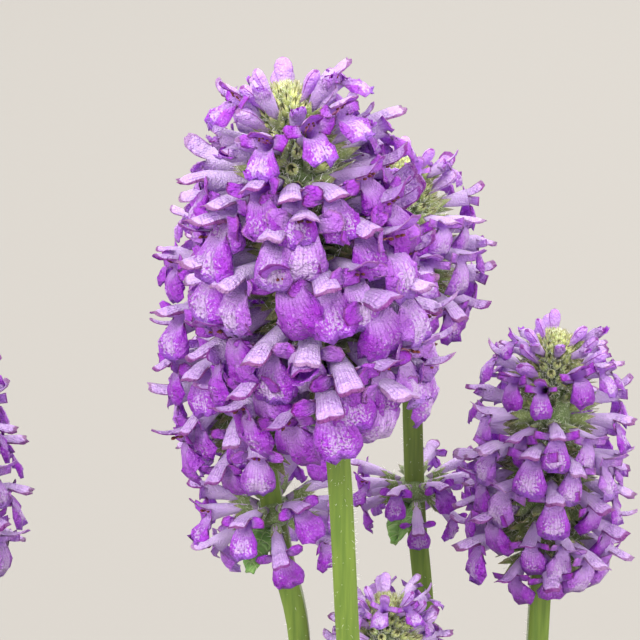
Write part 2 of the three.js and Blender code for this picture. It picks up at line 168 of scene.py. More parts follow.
# The soft lights: their places and diameters in metres, and their shares of the key light's power.
LIGHTS = {
    "key": ((-1.9, -2.5, 3.3), 2.2, 1.0),
    "fill": ((2.7, -2.6, 2.1), 2.6, 0.45),
    "back": ((1.0, 2.8, 3.4), 2.2, 0.7),
}
LIGHTS_AIM = (0, -0.02, 0.42)
WORLD_STRENGTH = 2.4
CAMERA_PLACE = (0, -0.42588, 0.63681)
CAMERA_TILT = 70
CAMERA_LENS = 140.6

# Settings that many shader nodes share.
SMOOTH = {"interpolation_type": "SMOOTHSTEP"}
TIMES = {"operation": "MULTIPLY"}
COLOUR = {"data_type": "RGBA"}


def linear(colour):
    """An sRGB hex colour as linear RGBA."""
    parts = [int(colour[i : i + 2], 16) / 255 for i in (1, 3, 5)]
    return (*[c / 12.92 if c <= 0.04045 else ((c + 0.055) / 1.055) ** 2.4 for c in parts], 1.0)


def mix(a, b, t):
    return a + (b - a) * t


def ease(low, high, x):
    """0 below low, 1 above high, and a smooth rise between."""
    t = min(1.0, max(0.0, (x - low) / (high - low)))
    return t * t * (3 - 2 * t)


def wobble(a, b):
    """A repeatable offset from -1 to 1 for a pair of numbers."""
    s = math.sin(a * 12.9898 + b * 78.233) * 43758.5453
    return 2 * (s - math.floor(s)) - 1


def heading(azimuth):
    """The level direction at an azimuth in degrees from +X."""
    turn = math.radians(azimuth)
    return Vector((math.cos(turn), math.sin(turn), 0))


class Path:
    """A smooth centripetal curve through points, read by its share of the length."""

    def __init__(self, points, steps=14):
        points = [Vector(p) for p in points]
        ends = [2 * points[0] - points[1], *points, 2 * points[-1] - points[-2]]
        self.points = [points[0]]
        for p0, p1, p2, p3 in zip(ends, ends[1:], ends[2:], ends[3:]):
            a, b, c = ((q - p).length ** 0.5 for p, q in ((p0, p1), (p1, p2), (p2, p3)))
            leave = ((p1 - p0) / a - (p2 - p0) / (a + b) + (p2 - p1) / b) * b
            arrive = ((p2 - p1) / b - (p3 - p1) / (b + c) + (p3 - p2) / c) * b
            for i in range(1, steps + 1):
                t = i / steps
                u = 1 - t
                onward = p1 * (u * u * (1 + 2 * t)) + p2 * (t * t * (3 - 2 * t))
                self.points.append(onward + leave * (u * u * t) - arrive * (t * t * u))
        self.lengths = [0.0]
        for p, q in zip(self.points, self.points[1:]):
            self.lengths.append(self.lengths[-1] + (q - p).length)
        self.length = self.lengths[-1]

    def at(self, share):
        """The point at a share of the length, and the direction there."""
        want = min(1.0, max(0.0, share)) * self.length
        i = min(max(1, bisect_left(self.lengths, want)), len(self.points) - 1)
        low, high = self.lengths[i - 1], self.lengths[i]
        point = self.points[i - 1].lerp(self.points[i], (want - low) / max(high - low, 1e-9))
        before, after = self.points[max(0, i - 2)], self.points[min(len(self.points) - 1, i + 1)]
        return point, (after - before).normalized()

    def share_at(self, height):
        i = next((k for k, p in enumerate(self.points) if p.z >= height), len(self.points) - 1)
        return self.lengths[i] / self.length


def layers(bm):
    """The vertex layers that the materials follow: the place on a piece, and its tone."""
    vectors = bm.verts.layers.float_vector
    return [vectors.get(name) or vectors.new(name) for name in ("place", "tone")]


def empty_mesh():
    """An empty mesh with the layers that the materials follow."""
    bm = bmesh.new()
    layers(bm)
    return bm


def paint(verts, material):
    """Gives the faces at some vertices one of their piece's materials."""
    for face in {face for vert in verts for face in vert.link_faces}:
        face.material_index = material


def bent_grid(bm, columns, rows, bend, tube=False, material=0):
    """A grid whose point at each column and row goes where bend says, with its place and tone. The sides of
    a tube meet, and its ends are filled."""
    place, tone = layers(bm)
    verts = bmesh.ops.create_grid(bm, x_segments=columns, y_segments=rows, size=1)["verts"]
    for vert in verts:
        i, j = round((vert.co.x + 1) / 2 * columns), round((vert.co.y + 1) / 2 * rows)
        vert.co, vert[place], vert[tone] = bend(i, j)
    if tube:
        bmesh.ops.remove_doubles(bm, verts=verts, dist=1e-4)
        verts = [vert for vert in verts if vert.is_valid]
        rims = [edge for edge in {e for vert in verts for e in vert.link_edges} if edge.is_boundary]
        bmesh.ops.holes_fill(bm, edges=rims, sides=0)
        bmesh.ops.recalc_face_normals(bm, faces=list({face for vert in verts for face in vert.link_faces}))
    paint(verts, material)
    return verts


def turned(outline, steps):
    """A solid turned about the upright axis, from its outline as radii and heights."""
    bm = empty_mesh()
    verts = [bm.verts.new((radius, 0, z)) for radius, z in outline]
    edges = [bm.edges.new(pair) for pair in zip(verts, verts[1:])]
    bmesh.ops.spin(
        bm, geom=verts + edges, axis=(0, 0, 1), cent=(0, 0, 0), steps=steps, angle=2 * math.pi, use_merge=True
    )
    bmesh.ops.remove_doubles(bm, verts=bm.verts, dist=1e-3)
    bmesh.ops.recalc_face_normals(bm, faces=bm.faces)
    return bm


def thicken(bm, faces, thickness):
    """Gives a sheet its thickness, towards its outer side. The tone's second number marks the inner side."""
    _, tone = layers(bm)
    bm.normal_update()
    inner = {vert for face in faces for vert in face.verts}
    made = bmesh.ops.extrude_face_region(bm, geom=list(faces), use_keep_orig=True)["geom"]
    for outer in made:
        if isinstance(outer, bmesh.types.BMVert):
            outer.co += outer.normal * thickness
    for vert in inner:
        vert[tone].y = 1.0


def to_mesh(bm, name):
    mesh = bpy.data.meshes.new(name)
    bm.to_mesh(mesh)
    bm.free()
    return mesh


def piece(bm, name, materials, replaces=()):
    """A finished piece in metres, at the origin, riding on the part's one body."""
    bmesh.ops.transform(bm, matrix=Matrix.Scale(MM, 4), verts=bm.verts)
    for face in bm.faces:
        face.smooth = True
    made = bpy.data.objects.new(name, to_mesh(bm, name))
    for material in materials:
        made.data.materials.append(material)
    bpy.context.scene.collection.objects.link(made)
    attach(made, "root")
    if replaces:
        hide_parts(*replaces)
    return made


def stamp(bm, template, home, spot, size, tint):
    """Adds a copy of a template mesh at a spot in a spike's frame, with its own tint in the tone's third
    number."""
    copy = template.copy()
    copy.transform(home @ placed(*spot, size))
    tone = copy.attributes["tone"].data
    values = [0.0] * (3 * len(tone))
    tone.foreach_get("vector", values)
    values[2::3] = [tint] * len(tone)
    tone.foreach_set("vector", values)
    bm.from_mesh(copy)
    bpy.data.meshes.remove(copy)


def hair(bm, root, way, length, thickness, material):
    """One fine three-sided hair."""
    turn = way.to_track_quat("Z", "Y").to_matrix().to_4x4()
    place = Matrix.Translation(root + way * (length / 2)) @ turn
    made = bmesh.ops.create_cone(
        bm, cap_ends=True, segments=3, radius1=thickness, radius2=0, depth=length, matrix=place
    )
    paint(made["verts"], material)


def grain(bm, matrix, material):
    """One small rounded lump."""
    made = bmesh.ops.create_icosphere(bm, subdivisions=1, radius=1, matrix=matrix)
    paint(made["verts"], material)


def bar(bm, path, first, last, rows, columns, radius, outline=None, material=0, sink=0.0):
    """A closed bar along a path. radius gives its thickness at a share of the way, and outline scales that
    at an angle in its section."""

    def bend(i, j):
        share = mix(first, last, j / rows)
        point, along = path.at(share)
        right = Vector((0, 1, 0)).cross(along)
        right = right.normalized() if right.length > 0.1 else Vector((1, 0, 0))
        back = along.cross(right)
        angle = 2 * math.pi * i / columns
        size = radius(j / rows) * (outline(angle) if outline else 1)
        out = right * math.cos(angle) + back * math.sin(angle)
        return point + out * size - back * sink, (0.5 - 0.5 * math.cos(4 * angle), 0, 0), (0, 0, 0)

    bent_grid(bm, columns, rows, bend, tube=True, material=material)


def corolla(name, columns, tube_rows, lip_rows, openness, seed, stamens):
    """A two-lipped flower: a hooded upper lip, two folded side lobes and a broad crinkled middle lobe."""
    angles = [-a for a in reversed(columns)] + list(columns[1:])
    shift = Vector((seed * 3.7, seed * 1.9, seed * 5.3))
    # Degrees that each open lip leans out at its root, and curls on from there to its end.
    leans = (-8 + 9 * wobble(seed, 1), 46 + 10 * wobble(seed, 4), 38 + 9 * wobble(seed, 2))
    curls = (12 + 28 * wobble(seed, 5), 34, 46 + 24 * wobble(seed, 3))

    def bend(i, j):
        angle, hand = abs(angles[i]), math.copysign(1, angles[i])
        turn = math.radians(angles[i])
        t = min(1, j / tube_rows)
        s = max(0, (j - tube_rows) / lip_rows)
        width = 0.85 + 0.3 * t + 0.8 * ease(0.4, 1, t)
        arch = 0.5 * math.sin(math.pi * t)
        point = Vector((math.sin(turn) * width, TUBE_LENGTH * t, math.cos(turn) * width * 0.95 + arch))
        kind = 0 if angle <= UPPER_NOTCH else 1 if angle <= LOWER_NOTCH else 2
        middle, span, length, square, flare, fold = LIPS[kind]
        across = (angle - middle) / span
        crimp = math.sin(hand * across * 11.5 + seed * 2)
        if kind != 1:
            length *= 1 + 0.03 * kind * crimp - 0.05 * math.exp(-((across / 0.18) ** 2))
        reach = max(0.45, length * max(0.0, 1 - abs(across) ** 2.6) ** square)
        if s > 0:
            axis = math.radians(middle)
            outward = Vector((hand * math.sin(axis), 0, math.cos(axis)))
            sideways = Vector((hand * math.cos(axis), 0, -math.sin(axis))) * across
            lean = math.radians(mix(SHUT_LEANS[kind], leans[kind], openness**0.7) + curls[kind] * openness * s)
            grown = s * reach * mix(0.55, 1, openness)
            point += (Vector((0, math.cos(lean), 0)) + outward * math.sin(lean)) * grown
            point += sideways * (flare * openness * (grown / length) ** 1.2)
            point -= (outward if kind < 2 else Vector((0, 1, 0))) * (fold * across * across * s)
            ruffle = s**1.6 * (0.38 * crimp * kind + (0.7 + 0.6 * kind) * noise.noise(point * 0.8 + shift))
            point += Vector((0, 0.7, 0.7)) * ruffle * mix(0.3, 1, openness)
        edge = max(s**5, ease(0.86, 1, abs(across)) * ease(0.1, 0.3, s)) * (1, 0.7, 0.3)[kind]
        along = TUBE_SHARE * t + (1 - TUBE_SHARE) * s
        return point, (angle / 180, along, kind), (edge, 0, 0)

    bm = bmesh.new()
    bent_grid(bm, len(angles) - 1, tube_rows + lip_rows, bend)
    bmesh.ops.remove_doubles(bm, verts=bm.verts, dist=1e-4)
    thicken(bm, bm.faces, PETAL_THICKNESS)
    for x, y, z in ANTHERS if stamens else ():
        root = Vector((x * 0.8, 9.5, 0.4))
        way = Vector((x, y, z)) - root
        hair(bm, root, way.normalized(), way.length, 0.13, material=2)
        grain(bm, Matrix.Translation((x, y, z)) @ Matrix.Diagonal((0.3, 0.5, 0.24, 1)), material=1)
    return to_mesh(bm, name)


def closed_bud():
    """A club-shaped bud, its cap folded along two dark seams."""
    quarter = (0, 40, 72, 84, 90, 96, 108, 140)
    angles = [*quarter, *(180 + angle for angle in quarter), 360]

    def bend(i, j):
        y, radius = BUD_PROFILE[j]
        turn = math.radians(angles[i])
        seam = ease(0.99, 1, abs(math.sin(turn))) * ease(2.5, 4, y)
        radius *= 1 + 0.08 * seam
        point = Vector((math.sin(turn) * radius, y, math.cos(turn) * radius * 0.72))
        return point, (0.3, 0.3 + 0.06 * y, 1), (max(seam, ease(7.2, 7.7, y)), 0, 0)

    bm = bmesh.new()
    bent_grid(bm, len(angles) - 1, len(BUD_PROFILE) - 1, bend, tube=True)
    return to_mesh(bm, "club_bud")


def calyx(name, seed, hairs, openness):
    """A bell with five bristle-pointed teeth and stiff pale hairs. A young one is still closed."""
    profile = ((0, 0.5), (2.4, 1.35), (4.8, 1.6))

    def bend(i, j):
        turn = 2 * math.pi * i / 10
        if j < len(profile):
            y, radius = profile[j]
        else:
            y, radius = (7.6, mix(0.4, 2.2, openness)) if i % 2 else (4.9, mix(1.2, 1.62, openness))
        point = Vector((math.sin(turn) * radius, y, math.cos(turn) * radius))
        return point, (i / 10, y / 7.6, 0), (0, 0, 0)

    bm = bmesh.new()
    bent_grid(bm, 10, len(profile), bend)
    bmesh.ops.remove_doubles(bm, verts=bm.verts, dist=1e-4)
    thicken(bm, bm.faces, CALYX_THICKNESS)
    for k in range(hairs):
        turn = 2.4 * k + seed
        y = 3.0 + 3.5 * abs(wobble(seed, k))
        out = Vector((math.sin(turn), 0.6 + 0.5 * wobble(k, seed), math.cos(turn))).normalized()
        root = Vector((math.sin(turn) * 1.5, y, math.cos(turn) * 1.5))
        hair(bm, root, out, 1.9 + 0.8 * wobble(seed + 3, k), 0.07, material=1)
    return to_mesh(bm, name)


def spike_frame(foot, tip):
    """A spike's own frame: +Z runs from its foot to its tip, and -Y faces front."""
    up = (Vector(tip) - Vector(foot)).normalized()
    right = Vector((0, 1, 0)).cross(up).normalized()
    axes = Matrix((right, up.cross(right), up)).transposed().to_4x4()
    return Matrix.Translation(foot) @ axes


def placed(height, from_axis, azimuth, lift, roll, size):
    """Sets a +Y piece at a height, azimuth and lift, in degrees, about a spike's own axis."""
    turn = Matrix.Rotation(math.radians(azimuth + 180), 4, "Z")
    tilt = Matrix.Rotation(math.radians(lift), 4, "X")
    spin = Matrix.Rotation(math.radians(roll), 4, "Y")
    return turn @ Matrix.Translation((0, from_axis, height)) @ tilt @ spin @ Matrix.Scale(size, 4)


def flower_size(reach, t):
    """The size of a flower, so that the spike's outline narrows to both ends."""
    return reach / (ROOT_FROM_AXIS + FLOWER_LENGTH) * (0.8 + 0.24 * math.sin(math.pi * min(1, t * 0.8 + 0.22)))


def whorls_of(spike, length):
    """A spike's whorls: each one's height, lift and azimuths."""
    if spike is SPIKES["a"]:
        rows = []
        for height, lift, front in MAIN_WHORLS:
            gap = 360 - (front[-1] - front[0])
            count = round(gap / BACK_SPACING) - 1
            behind = [front[-1] + gap * (i + 1) / (count + 1) for i in range(count)]
            rows.append((height, lift, [*front, *behind]))
        return rows
    count = round((length - 18) / WHORL_SPACING) + 1
    rows = []
    for i in range(count):
        t = i / (count - 1)
        azimuths = [360 * (j + (i % 2) / 2) / WHORL_FLOWERS for j in range(WHORL_FLOWERS)]
        rows.append((mix(12, length - 6, t), mix(-15, 16, t) + 26 * ease(0.6, 1, t), azimuths))
    return rows


def add_node(tree, kind, values=(), **settings):
    """Adds a shader node with its settings. The values go to its inputs in order, or by name, and a node or
    an output given as a value is linked. A texture's values start with place, scale per metre and detail, and
    a range's with the number, its start and its end, then what they turn into."""
    made = tree.nodes.new("ShaderNode" + kind)
    for key, value in settings.items():
        setattr(made, key, value)
    inputs = [socket for socket in made.inputs if socket.enabled]
    if isinstance(values, dict):
        names = [socket.name for socket in inputs]
        inputs = [inputs[names.index(name)] for name in values]
        values = values.values()
    for socket, value in zip(inputs, values):
        if isinstance(value, bpy.types.Node):
            value = next(o for o in value.outputs if o.enabled)
        if isinstance(value, bpy.types.NodeSocket):
            tree.links.new(value, socket)
        else:
            socket.default_value = value
    return made


def new_material(name, *layer_names):
    """A material, what adds a node to it, the place of each point on the plant, and each named layer's three
    numbers."""
    made = bpy.data.materials.new(name)
    made.use_nodes = True
    made.node_tree.nodes.clear()
    add = partial(add_node, made.node_tree)
    where = add("TexCoord").outputs["Object"]
    split = []
    for layer in layer_names:
        vector = add("Attribute", attribute_name=layer).outputs["Vector"]
        split.append(tuple(add("SeparateXYZ", (vector,)).outputs))
    return made, add, where, *split


def coated(add, colour, coats):
    """Lays colours over a colour. Each coat gives the number it follows, where in that it starts and is
    full if not at 0 and 1, its share when full, and its colour."""
    for value, *span, share, over in coats:
        share = add("MapRange", (value, *(span or (0.0, 1.0)), 0.0, share))
        colour = add("Mix", (share, colour, over), **COLOUR)
    return colour


def finished(made, add, colour, relief, roughness, sheen=(0.0, 0.5), through=None, share=0.0):
    """Ends a material. The relief is a height, a strength, a depth in metres and any finer relief under it.
    The sheen of its down is a weight and a roughness. A share of the light can pass through in a colour."""
    bump = add("Bump", dict(zip(("Height", "Strength", "Distance", "Normal"), relief)))
    values = {"Base Color": colour, "Roughness": roughness, "Normal": bump}
    surface = add("BsdfPrincipled", {**values, "Sheen Weight": sheen[0], "Sheen Roughness": sheen[1]})
    if share:
        glow = add("BsdfTranslucent", {"Color": through, "Normal": bump})
        surface = add("MixShader", (share, surface, glow))
    add("OutputMaterial", {"Surface": surface})
    return made


def petal_material(name, settings):
    """Thin living petal, as grown: matt and softly hairy outside, so the tube looks pale and dusty, its down
    whitened partly by a painted sheen, and strongly coloured inside the lips. Light passes through it."""
    made, add, where, place, tone = new_material(name, "place", "tone")
    across, along, lobe = place
    edge, inside, tint = tone

    # The lips past the tube, the middle and the end of the lower one, the reach of the veins, and the rims.
    ranges = ((along, 0.3, 0.8), (across, 0.68, 0.94), (along, 0.84, 0.97), (along, 1.0, 0.55))
    lip, middle, end, veined, rim = (
        add("MapRange", values, **SMOOTH) for values in (*ranges, (edge, 0.4, 0.64))
    )
    low = add("MapRange", (lobe, 0.6, 1.4))
    lower = add("Math", (low, lip), **TIMES)

    # The outside runs from a nearly white tube to lilac lips, and the inside to vivid orchid.
    coats = ((lip, 1.0, settings.outer_colour), (lower, 0.45, settings.lip_colour))
    outer = coated(add, settings.tube_colour, coats)
    coats = ((lip, 1.0, settings.lip_colour), (lobe, 0.6, 0.2, 0.45, settings.outer_colour))
    inner = coated(add, settings.outer_colour, coats)
    colour = add("Mix", (inside, outer, inner), **COLOUR)

    # Pale flowers have lower lips white with papillae in the middle and bluer at the end. Deep ones have few.
    white = add("MapRange", (tint, 0.75, 0.0, 0.12))
    for factor in (lower, white):
        middle = add("Math", (middle, factor), **TIMES)
    border = add("Math", (end, middle), **TIMES)
    clear = add("Math", (middle, border), operation="SUBTRACT")
    # White speckles over the lower lips are painted glints of the papillae.
    papillae_white_and_painted_glints = add("Math", (add("TexNoise", (where, 2300.0, 1.0)), 2.4, -1.35), operation="MULTIPLY_ADD")
    papillae_white_and_painted_glints = add("Math", (papillae_white_and_painted_glints, clear), operation="ADD")
    papillae_white_and_painted_glints = add("MapRange", (papillae_white_and_painted_glints, 0.15, 0.75), **SMOOTH)
    papillae_white_and_painted_glints = add("Math", (papillae_white_and_painted_glints, lower), **TIMES)

    # Darker veins run out of the throat.
    stripe = add("Math", (add("Math", (across, 96.0), **TIMES),), operation="SINE")
    stripe = add("MapRange", (stripe, 0.55, 0.95), **SMOOTH)
    for factor in (veined, lip):
        stripe = add("Math", (stripe, factor), **TIMES)

    # A frost of fine hairs whitens the outside: partly the down's own white, and partly its sheen, painted.
    down_and_painted_sheen = add("MapRange", (add("TexNoise", (where, 3400.0, 1.0)), 0.5, 0.72), **SMOOTH)
    outside = add("Math", (1.0, inside), operation="SUBTRACT")
    down_and_painted_sheen = add("Math", (down_and_painted_sheen, outside), **TIMES)

    # The rims are crimson, most on the deeper flowers, and each flower is deeper or paler than the next.
    rim = add("Math", (rim, add("MapRange", (tint, -1.0, 1.0, 0.75, 1.0))), **TIMES)
    cloud = add("TexNoise", (where, 420.0, 2.0))
    coats = (
        (border, 0.6, settings.border_colour),
        # white middles of the pale lower lips, and painted glints of the papillae
        (papillae_white_and_painted_glints, 0.8, settings.tube_colour),
        (stripe, 0.65, settings.deep_colour),
        # the down's own white, with its sheen painted
        (down_and_painted_sheen, 0.55, linear("#F4F0FF")),
        (rim, 1.0, settings.rim_colour),
        (tint, 0.1, 1.0, 0.42, settings.deep_colour),
        (tint, 0.0, -1.0, 0.3, settings.tube_colour),
        (cloud, 0.35, 0.7, 0.12, settings.tube_colour),
    )
    colour = coated(add, colour, coats)

    # The petal is crumpled in folds 1.2 mm apart. Cells 0.3 mm across and the veins stand up slightly.
    cells = add("TexVoronoi", (where, 3300.0))
    relief = add("Math", (cells, stripe), operation="ADD")
    fine = add("Bump", {"Height": relief, "Strength": 0.6, "Distance": 0.0003})
    crumple = add("Math", (add("TexNoise", (where, 850.0, 2.0)), lip), **TIMES)

    # Light that has come through a petal is more strongly coloured.
    through = add("Mix", (0.8, colour, settings.lip_colour), **COLOUR)
    return finished(made, add, colour, (crumple, 0.8, 0.0014, fine), 0.42, (0.1, 0.4), through, 0.5)


def plain_material(name, low, high, size, roughness, relief=0.3):
    """A surface of two colours in patches of a size in millimetres."""
    made, add, where = new_material(name)
    patch = add("TexNoise", (where, 1000.0 / size, 4.0))
    colour = coated(add, low, ((patch, 0.35, 0.65, 1.0, high),))
    return finished(made, add, colour, (patch, relief, size * 0.0003), roughness)


def calyx_material(name, settings):
    """Ribbed green calyx, browner towards its bristle points and yellower where it is young. Short white
    down covers about a third of the green."""
    made, add, where, place, tone = new_material(name, "place", "tone")
    patch = add("TexNoise", (where, 900.0, 3.0))
    down = add("TexNoise", (where, 2800.0, 2.0))
    coats = (
        (tone[2], 1.0, settings.young_colour),
        (patch, 0.4, 0.7, 0.5, linear("#3E4A22")),
        (place[1], 0.72, 1.0, 0.6, linear("#8A6A4A")),
        (down, 0.5, 0.7, 0.26, linear("#E4E8CE")),
    )
    colour = coated(add, settings.calyx_colour, coats)
    return finished(made, add, colour, (patch, 0.4, 0.0003), 0.6, (0.3, 0.5))


def leaf_material(name, settings):
    """Wrinkled betony leaf: matt green above and paler below, with a net of pale sunken veins."""
    made, add, where, place, tone = new_material(name, "place", "tone")
    across = add("Math", (place[0],), operation="ABSOLUTE")
    patch = add("TexNoise", (where, 45.0, 5.0))
    # The midrib, then side veins that meet it at each tooth.
    midrib = add("MapRange", (across, 0.07, 0.02))
    wave = add("Math", (across, -0.13, place[1]), operation="MULTIPLY_ADD")
    wave = add("Math", (wave, place[2]), **TIMES)
    wave = add("Math", (wave, 0.5), operation="PINGPONG")
    side = add("MapRange", (wave, 0.1, 0.02))
    # The finest net has meshes of 2.5 mm.
    net = add("TexVoronoi", (where, 400.0), feature="DISTANCE_TO_EDGE")
    net = add("MapRange", (net, 0.14, 0.02, 0.0, 0.5))
    veins = add("Math", (midrib, side), operation="MAXIMUM")
    veins = add("Math", (veins, net), operation="MAXIMUM")
    coats = (
        (patch, 0.3, 0.7, 1.0, settings.leaf_light_colour),
        (veins, 0.55, settings.vein_colour),
        (tone[1], 0.5, linear("#9DB486")),
    )
    colour = coated(add, settings.leaf_colour, coats)
    sunk = add("Math", (1.0, veins), operation="SUBTRACT")
    return finished(made, add, colour, (sunk, 0.6, 0.0006), 0.62, (0.15, 0.5), colour, 0.15)


def stem_material(name, settings):
    """Fresh square stem: smooth green with fine lengthwise lines, and paler at its four corners."""
    made, add, where, place = new_material(name, "place")
    stretch = add("Mapping", {"Vector": where, "Scale": (1.0, 1.0, 0.06)})
    lines = add("TexNoise", (stretch, 1500.0, 2.0))
    coats = (
        (lines, 0.35, 0.65, 0.6, settings.stem_light_colour),
        (place[0], 0.6, 1.0, 0.45, settings.stem_light_colour),
    )
    colour = coated(add, settings.stem_colour, coats)
    return finished(made, add, colour, (lines, 0.3, 0.0003), 0.45, (0.2, 0.5))


def clay_material(name, settings):
    """Unglazed terracotta, thrown and fired: matt orange-brown with fine grit, with turning rings, and with
    a pale bloom of lime salts in patches on its lower wall."""
    made, add, where = new_material(name)
    height = add("SeparateXYZ", (where,)).outputs["Z"]
    patch = add("TexNoise", (where, 18.0, 6.0, 0.6))
    bloom = add("MapRange", (add("TexNoise", (where, 34.0, 8.0, 0.7)), 0.52, 0.72))
    bloom = add("Math", (bloom, add("MapRange", (height, 0.125, 0.02, 0.12, 0.5))), **TIMES)
    coats = ((patch, 0.35, 0.7, 1.0, settings.clay_light_colour), (bloom, 1.0, linear("#D9C6B4")))
    colour = coated(add, settings.clay_colour, coats)
    grit = add("TexNoise", (where, 900.0, 3.0))
    squeezed = add("Mapping", {"Vector": where, "Scale": (0.05, 0.05, 1.0)})
    rings = add("TexNoise", (squeezed, 350.0, 2.0))
    relief = add("Math", (rings, 0.6, grit), operation="MULTIPLY_ADD")
    return finished(made, add, colour, (relief, 0.35, 0.0006), 0.88)


def made_once(name, make, *values):
    """The material of this name, made the first time that it is asked for."""
    return bpy.data.materials.get(name) or make(name, *values)


def bristle_material(context):
    """Stiff hair: thin, slightly glossy and nearly white."""
    colour = context.scene.betony.flowers.hair_colour
    return made_once("pale_bristle", plain_material, colour, linear("#FFFFFF"), 0.5, 0.5, 0.1)


def foliage_materials(context):
    """The leaves' wrinkled green, and the stems' smooth green."""
    settings = context.scene.betony.foliage
    leaf = made_once("wrinkled_leaf_with_net_veins", leaf_material, settings)
    return [leaf, made_once("fresh_green_stem", stem_material, settings)]


def spike_materials(context):
    """The flowers' petal, powdery dark anther and pale filament, and the calyxes' green and bristle."""
    settings = context.scene.betony.flowers
    petal = made_once("betony_petal_thin_and_downy", petal_material, settings)
    anther = made_once("powdery_anther", plain_material, settings.anther_colour, linear("#7A3226"), 0.5, 0.7)
    filament = made_once("pale_filament", plain_material, linear("#E0A0A8"), linear("#C86A50"), 0.8, 0.5)
    green = made_once("ribbed_green_calyx", calyx_material, settings)
    return [petal, anther, filament], [green, bristle_material(context)]


def colour_of(name, default, description):
    return bpy.props.FloatVectorProperty(
        name=name, description=description, subtype="COLOR", size=4, min=0, max=1, default=linear(default)
    )


class BetonyFlowerSettings(bpy.types.PropertyGroup):
    """Colours of the flower spikes."""

    # The papillae use this colour for the white middles of the lips and for their painted glints.
    tube_colour: colour_of("Tube", "#F1DAFC", "Nearly white base of the flower's tube and its papillae")
    outer_colour: colour_of("Outside", "#EAC4FD", "Downy outside of the lips")
    lip_colour: colour_of("Lips", "#B634DC", "Inside of the lips")
    deep_colour: colour_of("Veins", "#8C0CAC", "Veins, and the tint of the deeper flowers")
    rim_colour: colour_of("Rims", "#7E1266", "Thin crimson rims of the lips and buds")
    border_colour: colour_of("Lip's end", "#9A68E0", "Bluer end of the paler lower lips")
    anther_colour: colour_of("Anthers", "#3A1420", "Anthers under the upper lip")
    calyx_colour: colour_of("Calyx", "#52682E", "Grown calyxes between the flowers")
    young_colour: colour_of("Young calyx", "#CAD27C", "Young calyxes at the spike's tip")
    hair_colour: colour_of("Hairs", "#E9EAD8", "Stiff hairs on calyxes and stems")


class BetonyFoliageSettings(bpy.types.PropertyGroup):
    """Colours and detail of the leaves and stems."""

    leaf_colour: colour_of("Leaf", "#41702A", "Upper side of the leaves")
    leaf_light_colour: colour_of("Leaf, lighter", "#6A9640", "Lighter patches of the leaves")
    vein_colour: colour_of("Veins", "#A6C07A", "Net of veins")
    stem_colour: colour_of("Stem", "#4C6416", "Faces of the square stems")
    stem_light_colour: colour_of("Stem, lighter", "#687C26", "Corners and lines of the stems")
    teeth: bpy.props.IntProperty(
        name="Teeth", description="Rounded teeth on each side of a basal leaf", default=15, min=5, max=24
    )
    wrinkle: bpy.props.FloatProperty(
        name="Wrinkle",
        description="Height of the puckers between the side veins",
        default=0.9 * MM,
        min=0,
        max=3 * MM,
        unit="LENGTH",
    )


class BetonyPotSettings(bpy.types.PropertyGroup):
    """Colours of the pot and its compost."""

    clay_colour: colour_of("Clay", "#A85A3B", "Fired clay")
    clay_light_colour: colour_of("Clay, lighter", "#C77D57", "Drier and paler clay")
    soil_colour: colour_of("Compost", "#2B1F18", "Moist compost")
    chip_colour: colour_of("Bark", "#6B4A33", "Chips of bark on the compost")


class BetonyStageSettings(bpy.types.PropertyGroup):
    """The floor, the lights and the camera."""

    floor_colour: colour_of("Floor", "#7D7A76", "Plain pale floor")
    light_power: bpy.props.FloatProperty(
        name="Key light", description="Power of the large soft light", default=160.0, min=0, unit="POWER"
    )


class BetonySettings(bpy.types.PropertyGroup):
    """All settings of the plant."""

    flowers: bpy.props.PointerProperty(type=BetonyFlowerSettings)
    foliage: bpy.props.PointerProperty(type=BetonyFoliageSettings)
    pot: bpy.props.PointerProperty(type=BetonyPotSettings)
    stage: bpy.props.PointerProperty(type=BetonyStageSettings)


class BETONY_OT_pot(bpy.types.Operator):
    """Make the clay pot with its rolled rim and drain holes"""

    bl_idname = "betony.pot"
    bl_label = "Clay Pot"

    def execute(self, context):
        clay = clay_material("unglazed_terracotta", context.scene.betony.pot)
        pot = piece(turned(POT_OUTLINE, 96), "clay_pot", [clay], ["pot"])
        bm = bmesh.new()
        hole = {"cap_ends": True, "segments": 24, "radius1": DRAIN_RADIUS, "radius2": DRAIN_RADIUS}
        for i in range(4):
            place = Matrix.Translation(heading(90 * (i + 0.5)) * DRAIN_CIRCLE)
            bmesh.ops.create_cone(bm, depth=40, matrix=place, **hole)
        bmesh.ops.transform(bm, matrix=Matrix.Scale(MM, 4), verts=bm.verts)
        drill = bpy.data.objects.new("drill", to_mesh(bm, "drill"))
        context.scene.collection.objects.link(drill)
        cut = pot.modifiers.new("drain holes", "BOOLEAN")
        cut.object = drill
        cut.solver = "EXACT"
        holed = bpy.data.meshes.new_from_object(pot.evaluated_get(context.evaluated_depsgraph_get()))
        pot.modifiers.clear()
        pot.data = holed
        bpy.data.objects.remove(drill)
        pot.data.set_sharp_from_angle(angle=math.radians(50))
        return {"FINISHED"}


